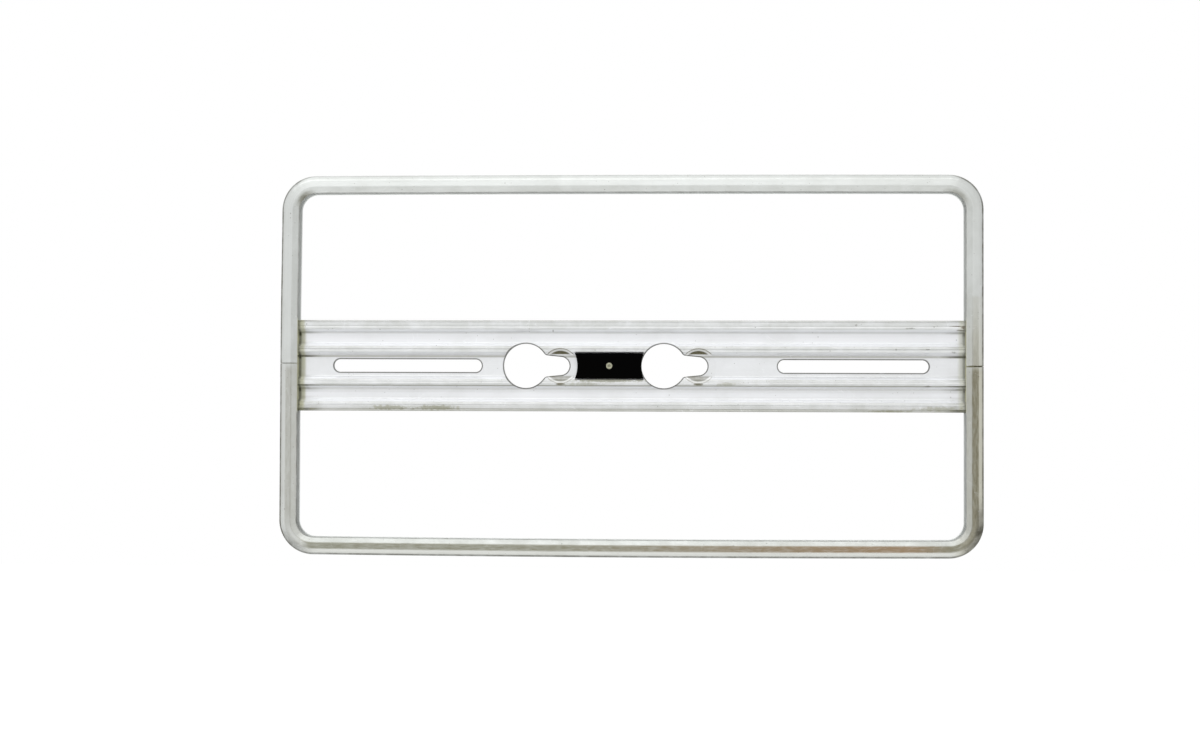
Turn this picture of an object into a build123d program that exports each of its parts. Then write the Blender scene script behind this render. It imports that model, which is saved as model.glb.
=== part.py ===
from build123d import *
import os

# Number plate holder in aluminium: a rail frame in two bent halves on a ribbed cross bar.
# Millimetres. X runs to the right as seen from the front, Z runs up and the front faces -Y.
# The origin is the centre of the cross bar's back plane.

# Number plate that the frame takes
plate_width = 300.0
plate_height = 160.0
plate_edge_play = 0.5

# Rail section: a faceted bead with a groove that opens towards the plate
rail_width = 7.6
groove_depth = 4.5
back_flange = 1.4
plate_gap = 1.4
lip_thickness = 1.1
crown_rise = 1.7
inner_slope = 2.8
crown_width = 2.9
shoulder_drop = 2.0
crown_round = 0.8
shoulder_round = 1.0
edge_round = 0.4
bend_radius = 15.0

# Butt joints between the two halves of the frame, one in each upright
joint_gap = 0.2
left_joint_height = 0.8
right_joint_height = 0.0

# Cross bar section: a floor with four ribs along it
bar_height = 40.0
floor_thickness = 1.6
rib_height = 2.4
centre_channel = 9.4
middle_rib_crest = 2.7
outer_rib_crest = 4.1
rib_slope = 1.2
rib_crown = 0.25
floor_hollow = 0.15
rib_round = 0.3
foot_round = 0.4
rib_groove_width = 0.45
rib_groove_depth = 0.25
edge_groove_inset = 0.9
inner_groove_inset = 2.7
bar_end_play = 0.25

# Long fixing slots
slot_length = 65.6
slot_width = 5.6
slot_end_margin = 19.65

# Keyholes: a round entry, a neck that narrows and a round seat in a spot face
keyhole_spacing = 60.6
entry_radius = 9.75
entry_offset = 15.2
seat_radius = 4.0
neck_root_width = 11.2
neck_round = 2.0
spot_face_radius = 7.5
spot_face_depth = 0.2

# Blank strip that lies on the slopes of the centre channel and stands a little proud of the ribs
strip_thickness = 1.2
strip_lap = 0.85
strip_slope_play = 0.05
strip_end_play = 0.1
strip_hollow_radius = 14.0

# Rivet through the strip
rivet_radius = 0.8
rivet_head_radius = 1.45
rivet_head_height = 0.45
rivet_dish_radius = 0.8
rivet_dish_depth = 0.3
rivet_tail_radius = 1.4
rivet_tail_height = 0.6

# Countersunk screws that hold the frame's legs to the bar's ends
screw_radius = 1.1
screw_clearance = 0.15
screw_head_radius = 1.75
screw_head_play = 0.05
screw_point = 1.0
screw_reach = 1.0
screw_slot_width = 0.5
screw_slot_depth = 0.35

# Places worked out from the sizes above
groove_floor = rail_width - groove_depth
frame_width = plate_width + 2 * (plate_edge_play + groove_floor)
frame_height = plate_height + 2 * (plate_edge_play + groove_floor)
bar_depth = floor_thickness + rib_height
lip_back = bar_depth + plate_gap
lip_front = lip_back + lip_thickness
crown_front = lip_front + crown_rise
bar_length = frame_width - 2 * (groove_floor + bar_end_play)
slot_x = bar_length / 2 - slot_end_margin - slot_length / 2

rib_shoulder = bar_depth - rib_crown
middle_rib_inner = centre_channel / 2 + rib_slope
middle_rib_outer = middle_rib_inner + middle_rib_crest
middle_rib_foot = middle_rib_outer + rib_slope
outer_rib_inner = bar_height / 2 - outer_rib_crest
outer_rib_foot = outer_rib_inner - rib_slope

left_seat = -keyhole_spacing / 2
right_seat = keyhole_spacing / 2
strip_left = left_seat + spot_face_radius + strip_end_play
strip_right = right_seat - entry_offset - entry_radius - strip_end_play
strip_width = centre_channel + 2 * strip_lap
strip_back = floor_thickness + (strip_lap + strip_slope_play) * (rib_shoulder - floor_thickness) / rib_slope
strip_front = strip_back + strip_thickness
rivet_x = (strip_left + strip_right) / 2

screw_x = frame_width / 2 - groove_floor - groove_depth / 2
screw_z = (middle_rib_foot + outer_rib_foot) / 2


def rail_section(height):
    """Rail section on the left, in a level plane: x from its outer edge inwards, y from back to front."""
    left = -frame_width / 2
    corners = [
        (0, back_flange, edge_round),
        (rail_width, back_flange, 0),
        (rail_width, 0, 0),
        (groove_floor, 0, 0),
        (groove_floor, -lip_back, 0),
        (rail_width, -lip_back, 0),
        (rail_width, -lip_front, edge_round),
        (rail_width - inner_slope, -crown_front, crown_round),
        (rail_width - inner_slope - crown_width, -crown_front, crown_round),
        (0, -crown_front + shoulder_drop, shoulder_round),
    ]
    points = [(left + x, y, height) for x, y, _ in corners]
    radii = [radius for _, _, radius in corners]
    return make_face(FilletPolyline(*points, radius=radii, close=True))


def frame_half(side):
    """One bent U of rail, the upper for side 1 and the lower for side -1, drilled for its two screws."""
    half_width = frame_width / 2
    half_height = frame_height / 2
    left_end = left_joint_height + side * joint_gap / 2
    right_end = right_joint_height + side * joint_gap / 2
    path = FilletPolyline(
        (-half_width, 0, left_end),
        (-half_width, 0, side * half_height),
        (half_width, 0, side * half_height),
        (half_width, 0, right_end),
        radius=bend_radius,
    )
    rail = sweep(rail_section(left_end), path=path)
    for x in (-screw_x, screw_x):
        rail -= screw_hole(x, side * screw_z)
    return rail


def screw_hole(x, z):
    """Clearance hole through the back flange, countersunk from behind."""
    radius = screw_radius + screw_clearance
    mouth = screw_head_radius + screw_head_play
    outline = [
        (0, back_flange),
        (mouth, back_flange),
        (radius, back_flange - (mouth - radius)),
        (radius, 0),
        (0, 0),
    ]
    return turned(outline, x, z)


def turned(outline, x, z):
    """Solid turned about a front-to-back axis at x, z, from points of radius and depth."""
    points = [(radius, depth) for radius, depth in outline]
    profile = make_face(Polyline(*points, close=True))
    return Pos(x, 0, z) * revolve(profile, axis=Axis.Y)


def retaining_screw(x, z):
    """Countersunk slotted screw, its head flush with the back and its point inside the bar's channel."""
    neck = back_flange - (screw_head_radius - screw_radius)
    tip = floor_thickness + screw_reach
    outline = [
        (0, back_flange),
        (screw_head_radius, back_flange),
        (screw_radius, neck),
        (screw_radius, -tip + screw_point),
        (0, -tip),
    ]
    slot = Box(2 * screw_head_radius, screw_slot_depth, screw_slot_width)
    return turned(outline, x, z) - Pos(x, back_flange - screw_slot_depth / 2, z) * slot


def bulge(low, high, depth, rise):
    """Sliver between a straight line at one depth, from height low to high, and an arc that rises from it."""
    arc = ThreePointArc((depth, low), (depth + rise, (low + high) / 2), (depth, high))
    return make_face([arc, Line((depth, high), (depth, low))])


def groove(height):
    """V groove along a rib, its root below the rib's crest."""
    half = rib_groove_width / 2
    root = rib_shoulder - rib_groove_depth
    front = bar_depth + rib_groove_depth
    flare = half * (front - root) / rib_groove_depth
    return make_face(Polyline((root, height), (front, height + flare), (front, height - flare), close=True))


def corners_at(section, depth):
    """Corners of the bar's section that lie at one depth."""
    same = 0.001
    return section.vertices().filter_by(lambda v: abs(v.X - depth) < same)


def bar_section():
    """Section across the bar, depth against height: crowned ribs and hollow channels, mirrored about zero."""
    edge = bar_height / 2
    upper = [
        (floor_thickness, centre_channel / 2),
        (rib_shoulder, middle_rib_inner),
        (rib_shoulder, middle_rib_outer),
        (floor_thickness, middle_rib_foot),
        (floor_thickness, outer_rib_foot),
        (rib_shoulder, outer_rib_inner),
        (rib_shoulder, edge),
        (0, edge),
    ]
    lower = [(depth, -height) for depth, height in reversed(upper)]
    section = make_face(Polyline(*upper, *lower, close=True))
    for side in (1, -1):
        section += bulge(side * middle_rib_inner, side * middle_rib_outer, rib_shoulder, rib_crown)
        section += bulge(side * outer_rib_inner, side * edge, rib_shoulder, rib_crown)
        section -= bulge(side * middle_rib_foot, side * outer_rib_foot, floor_thickness, -floor_hollow)
    section = fillet(corners_at(section, rib_shoulder), rib_round)
    section = fillet(corners_at(section, floor_thickness), foot_round)
    for side in (1, -1):
        section -= groove(side * (middle_rib_inner + middle_rib_outer) / 2)
        section -= groove(side * (edge - edge_groove_inset))
        section -= groove(side * (edge - inner_groove_inset))
    return section


def punch(outline, front, back=0.0):
    """Tool that takes a flat outline in X and Z through the bar, from depth back to depth front."""
    return extrude(Plane.XZ.offset(back) * outline, amount=front - back)


def keyhole_outline(seat_x):
    """Entry circle, tapered neck and seat circle in one outline, the neck's corners rounded."""
    entry_x = seat_x - entry_offset
    neck = make_face(
        Polyline(
            (entry_x, neck_root_width / 2),
            (seat_x, seat_radius),
            (seat_x, -seat_radius),
            (entry_x, -neck_root_width / 2),
            close=True,
        )
    )
    outline = Pos(entry_x, 0) * Circle(entry_radius) + neck + Pos(seat_x, 0) * Circle(seat_radius)
    corners = outline.vertices().filter_by(lambda v: abs(v.Y) > seat_radius and v.X > entry_x + seat_radius)
    return fillet(corners, neck_round)


def cross_bar():
    """Ribbed extrusion with its slots, keyholes, spot faces, rivet hole and screw holes."""
    right_end = Plane(origin=(bar_length / 2, 0, 0), x_dir=(0, -1, 0), z_dir=(-1, 0, 0))
    bar = extrude(right_end * bar_section(), amount=bar_length)
    for x in (-slot_x, slot_x):
        bar -= punch(Pos(x, 0) * SlotOverall(slot_length, slot_width), bar_depth)
    for seat_x in (left_seat, right_seat):
        bar -= punch(keyhole_outline(seat_x), bar_depth)
        spot_floor = floor_thickness - spot_face_depth
        bar -= punch(Pos(seat_x, 0) * Circle(spot_face_radius), bar_depth, spot_floor)
    bar -= punch(Pos(rivet_x, 0) * Circle(rivet_radius), bar_depth)
    for x in (-screw_x, screw_x):
        for z in (-screw_z, screw_z):
            bar -= punch(Pos(x, z) * Circle(screw_radius), bar_depth)
    return bar


def blank_strip():
    """Flat strip between the keyholes, both ends hollowed by the same radius."""
    left_hollow = strip_left - strip_hollow_radius
    right_hollow = strip_right + strip_hollow_radius
    outline = Pos(rivet_x, 0) * Rectangle(right_hollow - left_hollow, strip_width)
    for x in (left_hollow, right_hollow):
        outline -= Pos(x, 0) * Circle(strip_hollow_radius)
    outline -= Pos(rivet_x, 0) * Circle(rivet_radius)
    return punch(outline, strip_front, strip_back)


def strip_rivet():
    """Rivet with a dished head on the strip and a flat set tail behind the bar."""
    head_front = strip_front + rivet_head_height
    outline = [
        (0, -head_front + rivet_dish_depth),
        (rivet_dish_radius, -head_front),
        (rivet_head_radius - rivet_head_height / 2, -head_front),
        (rivet_head_radius, -head_front + rivet_head_height / 2),
        (rivet_head_radius, -strip_front),
        (rivet_radius, -strip_front),
        (rivet_radius, 0),
        (rivet_tail_radius, 0),
        (rivet_tail_radius - rivet_tail_height / 2, rivet_tail_height),
        (0, rivet_tail_height),
    ]
    return turned(outline, rivet_x, 0)


def all_parts():
    """Every piece of the holder by its node name."""
    parts = {
        "upper_frame_half": frame_half(1),
        "lower_frame_half": frame_half(-1),
        "cross_bar": cross_bar(),
        "blank_strip": blank_strip(),
        "strip_rivet": strip_rivet(),
    }
    for level, z in (("upper", screw_z), ("lower", -screw_z)):
        for hand, x in (("left", -screw_x), ("right", screw_x)):
            parts[f"retaining_screw_{level}_{hand}"] = retaining_screw(x, z)
    return parts


os.makedirs("parts", exist_ok=True)
for node, solid in all_parts().items():
    export_step(solid, f"parts/{node}.step")
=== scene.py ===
"""Number plate holder: two bent rails round a ribbed cross bar, with its strip, rivet and screws.

The sizes and colours that a user would change are properties, each piece is made by its own operator,
and the panel in the sidebar lists the operators. Lengths in the geometry are millimetres, and a mesh
gets metres when it is made. X runs right and Z up as seen from the front, and the front faces -Y.
"""
from functools import reduce
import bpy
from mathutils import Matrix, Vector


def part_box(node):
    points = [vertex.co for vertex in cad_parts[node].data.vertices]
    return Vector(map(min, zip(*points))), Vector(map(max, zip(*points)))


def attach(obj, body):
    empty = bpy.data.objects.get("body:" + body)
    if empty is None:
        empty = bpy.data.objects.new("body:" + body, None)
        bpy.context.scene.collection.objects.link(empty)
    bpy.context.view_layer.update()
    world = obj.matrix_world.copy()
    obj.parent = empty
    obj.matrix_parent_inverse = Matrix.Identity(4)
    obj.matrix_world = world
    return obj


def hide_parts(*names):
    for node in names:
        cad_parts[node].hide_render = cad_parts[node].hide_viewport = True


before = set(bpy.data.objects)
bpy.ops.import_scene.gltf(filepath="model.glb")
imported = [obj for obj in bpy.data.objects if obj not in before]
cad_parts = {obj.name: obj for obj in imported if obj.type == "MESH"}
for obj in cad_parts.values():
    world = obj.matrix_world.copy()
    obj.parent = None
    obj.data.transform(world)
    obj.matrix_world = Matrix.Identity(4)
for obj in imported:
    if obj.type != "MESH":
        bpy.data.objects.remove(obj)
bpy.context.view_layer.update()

from types import SimpleNamespace

import bpy
import numpy as np
from mathutils import Euler, Vector

bl_info = {
    "name": "Number plate holder",
    "version": (1, 0, 0),
    "blender": (4, 5, 0),
    "location": "3D View > Sidebar > Plate holder",
    "description": "Bent rails on a ribbed cross bar, with a blank strip, for a number plate",
    "category": "Mesh",
}

MM = 0.001
SEED = 7
BODY = "root"

# Unevenness of the rails and the bar: depth of their waves and of the puckers at a bend, and its reach
FACE_WAVE = 0.025
BAR_WAVE = 0.03
BEND_PUCKER = 0.07
BEND_REACH = 12

# Small shapes of the bar: V furrows, crowned ribs, hollow channels, corners rounded over a number of
# samples, spot faces and the rounded corner between a keyhole's entry and its neck
FURROW_DEPTH = 0.22
FURROW_HALF = 0.3
RIB_CROWN = 0.25
CHANNEL_HOLLOW = 0.15
CORNER_WINDOW = 141
SPOT_DEPTH = 0.2
NECK_FILLET = 2.0

# Strip, rivet and screws: radii, and lengths along the axis
STRIP_HOLLOW = 14.0
STRIP_EDGE = 0.12
RIVET_SHANK = 0.8
RIVET_RIM = 0.22
RIVET_TAIL = ((0, 0), (1.0, 0), (1.3, 0.15), (1.4, 0.35))
RIVET_DISH = ((0.86, 0), (0.8, 0.03), (0.72, 0.12), (0.45, 0.25), (0.2, 0.29), (0, 0.3))
SCREW_HEAD = 1.75
SCREW_HEAD_RIM = 0.06
SCREW_HEAD_DEPTH = 0.72
SCREW_THREAD = 1.1
SCREW_POINT = 0.25
SCREW_POINT_LENGTH = 1.0
SCREW_SLOT_HALF = 0.25
SCREW_SLOT_DEPTH = 0.35
THREAD_DEPTH = 0.06
THREAD_HALF_PITCH = 0.2
SCREW_PLAY = 1.25
SINK_RADIUS = 1.8
SINK_DEPTH = 0.55

# Marks as the photograph shows them, each as X, Z, half width, half height and strength
# Painted shade with dirt at each lower bend's outer edge
BEND_STAINS_AND_SHADE = ((152.0, -74.0, 13.0, 20.0, 1.0), (-149.0, -80.0, 13.0, 13.0, 0.55))
BEND_GRIME = ((-142.5, 73.0, 6.5, 6.0, 1.0), (142.0, 73.5, 8.0, 6.0, 0.6))
JOINT_GRIME = ((150.0, 0.0, 9.0, 0.5, 1.0), (-150.0, 0.8, 9.0, 0.4, 0.3))
BAR_STAINS_AND_SHADOW = (
    (-105.3, -18.5, 11.0, 1.2, 0.45),
    (-84.6, -18.5, 12.0, 1.3, 0.5),
    (-20.0, -8.0, 9.0, 0.9, 0.3),
    (43.0, -8.0, 6.0, 0.9, 0.3),
    # Painted shadow below the strip's lower edge
    (-8.7, -6.3, 17.0, 1.1, 0.5),
    (-139.9, -19.2, 1.8, 0.5, 0.5),
    (134.6, -18.5, 12.0, 1.3, 0.35),
    (113.5, -19.6, 11.0, 0.6, 0.5),
)
BAR_RUST = ((145.1, 17.0, 1.3, 1.0, 1.0), (142.4, 17.5, 3.8, 0.3, 1.0), (144.2, 15.8, 2.4, 0.35, 1.0))
BAR_NICKS = (
    (-33.5, 15.4, 0.5, 0.7, 1.0),
    (98.9, 17.9, 0.6, 0.5, 1.0),
    (122.3, 16.6, 2.6, 0.4, 1.0),
    (116.1, 7.4, 0.5, 0.8, 1.0),
    (129.7, 7.4, 1.6, 0.4, 1.0),
    (141.2, 6.1, 1.1, 0.6, 1.0),
    (129.7, -8.7, 2.0, 0.5, 1.0),
)

# Picture, room and floor
PICTURE_WIDTH = 1200
ROOM_LIGHT = 0.45
FLOOR_GLOW = 0.7
FLOOR_REACH = 3000.0
LAMP_PLACE = (-250, -1000, 1150)
LAMP_WIDTH = 1700
LAMP_HEIGHT = 1300
WHITE = (1.0, 1.0, 1.0)
PALE_FLOOR = (0.9, 0.9, 0.9)

# Colours of dirt and wear that only one place has, and of painted shade and painted light
KHAKI_FILM = (0.36, 0.345, 0.25)
PALE_DUST = (0.76, 0.73, 0.55)
WARM_DUST = (0.42, 0.38, 0.25)
LEVEL_OLIVE = (0.33, 0.325, 0.245)
UPRIGHT_OLIVE = (0.275, 0.256, 0.178)
# Painted shade with dirt on the rails' walls, lower bends, lip edges and groove
WALL_SHADE_AND_DIRT = (0.14, 0.135, 0.105)
CREVICE_DIRT = (0.16, 0.15, 0.085)
# Painted light on the lip beside the bar
LIP_LIGHT = (0.62, 0.61, 0.42)
RAIL_SPECK = (0.12, 0.11, 0.085)
RAIL_SCRATCH = (0.82, 0.83, 0.82)
# Painted shade with dirt under the ribs and in the furrows
FOOT_SHADE_AND_DIRT = (0.2, 0.195, 0.135)
# Painted highlight on the ribs' up-facing slopes
PAINTED_HIGHLIGHT = (0.92, 0.93, 0.95)
# Painted glint along the ribs
GLINT = (0.92, 0.93, 0.93)
# Painted shade round the bar's openings
OPENING_SHADE = (0.1, 0.1, 0.09)
# Painted highlight on the spot faces' rims
SPOT_RING_HIGHLIGHT = (0.92, 0.92, 0.9)
# Painted shade with dirt in the spot faces
SPOT_SHADE_AND_DIRT = (0.21, 0.195, 0.12)
END_HALO = (0.6, 0.6, 0.4)
# Painted light on the bar under the rails' lips
UNDER_LIP_LIGHT = (0.85, 0.84, 0.6)
# Yellow of the stain marks and of the painted shadow below the strip
YELLOW_STAIN_AND_SHADE = (0.3, 0.295, 0.165)
BAR_SPECK = (0.1, 0.095, 0.07)
BAR_SCRATCH = (0.84, 0.86, 0.88)
ENAMEL_DUST = (0.06, 0.055, 0.045)
RIVET_OLIVE = (0.43, 0.43, 0.32)
RIVET_TARNISH = (0.3, 0.29, 0.2)
RIVET_DISH_DIRT = (0.13, 0.125, 0.09)
SCREW_PLATING = (0.5, 0.49, 0.45)
SCREW_FILM = (0.28, 0.24, 0.17)
SCREW_RUST = (0.12, 0.085, 0.05)


def node_box(node):
    """Lowest and highest corner of a CAD node, in millimetres."""
    low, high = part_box(node)
    return np.array(low) / MM, np.array(high) / MM


UPPER_LOW, UPPER_HIGH = node_box("upper_frame_half")
LOWER_LOW, LOWER_HIGH = node_box("lower_frame_half")
BAR_LOW, BAR_HIGH = node_box("cross_bar")
STRIP_LOW, STRIP_HIGH = node_box("blank_strip")
RIVET_LOW, RIVET_HIGH = node_box("strip_rivet")
SCREW_LOW, SCREW_HIGH = node_box("retaining_screw_upper_right")
RIVET_X = (RIVET_LOW[0] + RIVET_HIGH[0]) / 2


def length(name, description, default, low=0.0):
    """A length given in millimetres, as a property in metres."""
    return bpy.props.FloatProperty(
        name=name, description=description, default=default * MM, min=low * MM, precision=5, unit="LENGTH"
    )


def tint(name, description, default):
    """A colour, as a property."""
    return bpy.props.FloatVectorProperty(
        name=name, description=description, default=default, size=3, min=0.0, max=1.0, subtype="COLOR"
    )


class RailSizes(bpy.types.PropertyGroup):
    """Section and bends of the rails."""

    width: length("Width", "Rail from its outer wall to the edge of its lip", 7.6)
    groove: length("Groove", "Depth of the groove that takes the plate's edge", 4.5)
    flange: length("Flange", "Thickness of the flange behind the plate", 1.4)
    lip_back: length("Lip back", "Depth of the lip's back face in front of the bar's back plane", 5.4)
    lip_front: length("Lip front", "Depth of the lip's front edge", 6.5)
    crown: length("Crown", "Depth of the flat crown", 8.2)
    inner_slope: length("Inner slope", "Width of the slope between the lip and the crown", 2.8)
    crown_width: length("Crown width", "Width of the flat crown", 2.9)
    shoulder: length("Shoulder drop", "Fall of the outer slope from the crown to the wall", 2.0)
    bend: length("Bend radius", "Radius of the outer wall at the four corners", 15.0)
    bow: length("Bow", "How far the long rails stand out at their middle", 0.6)
    lean: length("Lean", "How far the left rail leans in at its top", 0.5)
    joint_gap: length("Joint gap", "Gap between the two halves", 0.2)
    left_joint: length("Left joint", "Height of the joint in the left rail", 0.8)
    right_joint: length("Right joint", "Height of the joint in the right rail", 0.0)


class BarSizes(bpy.types.PropertyGroup):
    """Section and openings of the cross bar."""

    floor: length("Floor", "Thickness of the bar between its ribs", 1.6)
    centre_channel: length("Centre channel", "Height of the middle channel's floor", 9.4)
    middle_crest: length("Middle crest", "Height of a middle rib's crest", 2.7)
    outer_crest: length("Outer crest", "Height of an outer rib's crest", 4.1)
    slope: length("Rib slope", "Height that a rib's side takes up", 1.2)
    slot_length: length("Slot length", "Long fixing slots from end to end", 65.6)
    slot_width: length("Slot width", "Long fixing slots across", 5.6)
    slot_margin: length("Slot margin", "From the bar's end to the slot's end", 19.65)
    key_spacing: length("Keyhole spacing", "Between the seats of the two keyholes", 60.6)
    entry_radius: length("Entry radius", "Round entry of a keyhole", 9.75)
    entry_offset: length("Entry offset", "From the seat of a keyhole back to its entry", 15.2)
    seat_radius: length("Seat radius", "Round seat of a keyhole", 4.0)
    neck_root: length("Neck root", "Width of the neck where it leaves the entry", 11.2)
    spot_radius: length("Spot face radius", "Round recess about a seat", 7.5)


class FinishColours(bpy.types.PropertyGroup):
    """Colours of the metal, the paint and the dirt."""

    rail: tint("Rail", "Aged anodised aluminium of the rails", (0.71, 0.73, 0.715))
    bar: tint("Bar", "Mill finish aluminium of the bar", (0.715, 0.725, 0.74))
    # Grey film, also the colour of painted shade in the rails' hollows
    grey_film_and_shade: tint("Grey film", "Thin grey film in hollows and on worn crests", (0.34, 0.35, 0.31))
    brown_film: tint("Brown film", "Brown road dirt on the lower half", (0.42, 0.3, 0.19))
    rust: tint("Rust", "Rust stain at the right end of the top rib", (0.15, 0.1, 0.05))
    # Olive grime, also used as painted shade at the bar's channel ends
    olive: tint("Olive grime", "Olive grime in the corners by the rails", (0.085, 0.085, 0.05))
    enamel: tint("Enamel", "Black enamel of the strip", (0.0006, 0.0005, 0.0005))


class StageSettings(bpy.types.PropertyGroup):
    """Camera, lamps and floor."""

    distance: length("Camera distance", "From the camera to the bar's back plane", 800.0)
    camera_x: length("Camera X", "Camera to the right of the bar's centre", 22.6, -1000.0)
    camera_z: length("Camera Z", "Camera height against the bar's centre", -21.5, -1000.0)
    focal_pixels: bpy.props.FloatProperty(
        name="Focal length in pixels", description="For a picture 1200 pixels wide", default=1819.4
    )
    turn: bpy.props.FloatVectorProperty(
        name="Turn", description="Yaw, pitch and roll of the camera", default=(-0.044394, 0.020308, 0.003461),
        size=3, precision=5, subtype="EULER",
    )
    floor_drop: length("Floor drop", "From the lowest rail down to the floor", 260.0)
    lamp_power: bpy.props.FloatProperty(
        name="Lamp power", description="Power of the overhead lamp", default=10.2, unit="POWER"
    )


GROUPS = {
    "holder_rail": RailSizes,
    "holder_bar": BarSizes,
    "holder_finish": FinishColours,
    "holder_stage": StageSettings,
}


class Millimetres:
    """Reads the lengths of a property group in millimetres."""

    def __init__(self, group):
        self.group = group

    def __getattr__(self, key):
        return getattr(self.group, key) / MM


def rounded(corners, step=0.35, turn=np.radians(9)):
    """Closed profile through corners of (x, y, radius), each replaced by an arc tangent to both sides.

    The arc's centre lies on the bisector at radius / sin(half angle), and straight stretches are
    divided to the step. Returns the points as an array with one row each."""
    points = []
    count = len(corners)
    for index in range(count):
        here = np.array(corners[index][:2], float)
        before = np.array(corners[index - 1][:2], float) - here
        after = np.array(corners[(index + 1) % count][:2], float) - here
        radius = corners[index][2]
        before /= np.linalg.norm(before)
        after /= np.linalg.norm(after)
        if radius == 0:
            points.append(here[None])
            continue
        half = np.arccos(np.clip(before @ after, -1, 1)) / 2
        bisector = (before + after) / np.linalg.norm(before + after)
        centre = here + bisector * radius / np.sin(half)
        first = here + before * radius / np.tan(half) - centre
        last = here + after * radius / np.tan(half) - centre
        sweep = np.pi - 2 * half
        share = np.linspace(0, 1, max(3, int(np.ceil(sweep / turn)) + 1))[:, None]
        arc = (np.sin((1 - share) * sweep) * first + np.sin(share * sweep) * last) / np.sin(sweep)
        points.append(centre + arc)
    return divided(np.vstack(points), step)


def divided(points, step):
    """Closed profile with each side longer than the step divided evenly."""
    following = np.roll(points, -1, axis=0)
    parts = np.maximum(1, np.ceil(np.linalg.norm(following - points, axis=1) / step).astype(int))
    start = np.repeat(points, parts, axis=0)
    run = np.repeat(following - points, parts, axis=0)
    order = np.arange(parts.sum()) - np.repeat(np.cumsum(parts) - parts, parts)
    return start + run * (order / np.repeat(parts, parts))[:, None]


def along(points):
    """Length from the first point to each point of a closed profile, with the whole length as the last."""
    closed = np.vstack([points, points[:1]])
    return np.concatenate([[0.0], np.cumsum(np.linalg.norm(np.diff(closed, axis=0), axis=1))])


def waves(u, v, long_wave, short_wave, seed, terms=9):
    """Smooth unevenness between about -1 and 1: a sum of sines across the surface, seeded, that run
    about long_wave along u and short_wave along v."""
    chance = np.random.default_rng(seed)
    total = np.zeros(np.broadcast(u, v).shape)
    for _ in range(terms):
        rate_u = 2 * np.pi / (long_wave * chance.uniform(0.6, 1.8))
        rate_v = 2 * np.pi / (short_wave * chance.uniform(0.7, 2.0)) * chance.choice([-1, 1])
        total = total + np.sin(rate_u * u + rate_v * v + chance.uniform(0, 2 * np.pi))
    return total / np.sqrt(terms) / 1.4


def grid_faces(rows, columns, closed):
    """Corner indices of the quads of a grid, its columns joined end to end when it is closed."""
    row = np.arange(rows - 1)[:, None]
    column = np.arange(columns if closed else columns - 1)[None]
    following = (column + 1) % columns
    corners = [row * columns + column, (row + 1) * columns + column]
    corners += [(row + 1) * columns + following, row * columns + following]
    return np.stack([corner.ravel() for corner in corners], axis=1)


def new_piece(name, points, faces, uvs=None):
    """Mesh object from points in millimetres, faces as lists of indices and a UV pair per corner."""
    mesh = bpy.data.meshes.new(name)
    mesh.from_pydata((np.asarray(points) * MM).tolist(), [], faces)
    if uvs is not None:
        layer = mesh.uv_layers.new(name="surface")
        layer.data.foreach_set("uv", np.asarray(uvs, np.float32).ravel())
    mesh.validate()
    mesh.update()
    piece = bpy.data.objects.new(name, mesh)
    bpy.context.scene.collection.objects.link(piece)
    return piece


def joined(x, y, z):
    """Points from three arrays or numbers that are broadcast against each other."""
    return np.stack(np.broadcast_arrays(x, y, z), -1)


def carried(name, rings, u, v):
    """Solid whose closed sections are the rows of rings, an array of rows, columns and 3, with flat ends.

    The UV map holds u, the length along the path, and v, the length round the section, in millimetres."""
    rows, columns, _ = rings.shape
    row = np.repeat(np.arange(rows - 1), columns)
    column = np.tile(np.arange(columns), rows - 1)
    corners = ((row, column), (row + 1, column), (row + 1, column + 1), (row, column + 1))
    uv = np.stack([np.stack([u[row], v[column]], 1) for row, column in corners], axis=1).reshape(-1, 2)
    first = np.arange(columns)
    last = first[::-1] + (rows - 1) * columns
    faces = grid_faces(rows, columns, True).tolist() + [first.tolist(), last.tolist()]
    start, end = (np.stack([np.full(columns, travel), v[:-1]], 1) for travel in (u[0], u[-1]))
    return outward(new_piece(name, rings.reshape(-1, 3), faces, np.vstack([uv, start, end[::-1]])))


def prism(name, outline, back, front):
    """Straight prism with a closed outline in X and Z, from depth back to depth front along -Y."""
    count = len(outline)
    rings = joined(outline[:, 0], -np.array([[back], [front]]), outline[:, 1])
    faces = grid_faces(2, count, True).tolist()
    faces += [list(range(count)), list(range(2 * count - 1, count - 1, -1))]
    return outward(new_piece(name, rings.reshape(-1, 3), faces))


def end_cap(steps, pole, ring):
    """Triangles from a pole to a ring of points that starts at the given index."""
    around = np.arange(steps)
    return np.stack([np.full(steps, pole), ring + around, ring + (around + 1) % steps], 1)


def turned(name, profile, x, z, steps=64):
    """Solid turned about a front-to-back axis at x, z, from points of radius and depth, which start and
    end on the axis. Ring point = (x + radius cos a, -depth, z + radius sin a)."""
    profile = np.asarray(profile, float)
    angle = np.linspace(0, 2 * np.pi, steps, endpoint=False)
    radius, depth = profile[1:-1, :1], profile[1:-1, 1:]
    rings = joined(x + radius * np.cos(angle), -depth, z + radius * np.sin(angle))
    points = np.vstack([rings.reshape(-1, 3), [[x, -profile[0, 1], z], [x, -profile[-1, 1], z]]])
    last = radius.size * steps
    faces = grid_faces(radius.size, steps, True).tolist() + end_cap(steps, last, 0).tolist()
    faces += end_cap(steps, last + 1, last - steps)[:, [0, 2, 1]].tolist()
    return outward(new_piece(name, points, faces))


def bore(name, radius, back, front, x, z, steps):
    """Round cutter between two depths."""
    return turned(name, [(0, back), (radius, back), (radius, front), (0, front)], x, z, steps)


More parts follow.
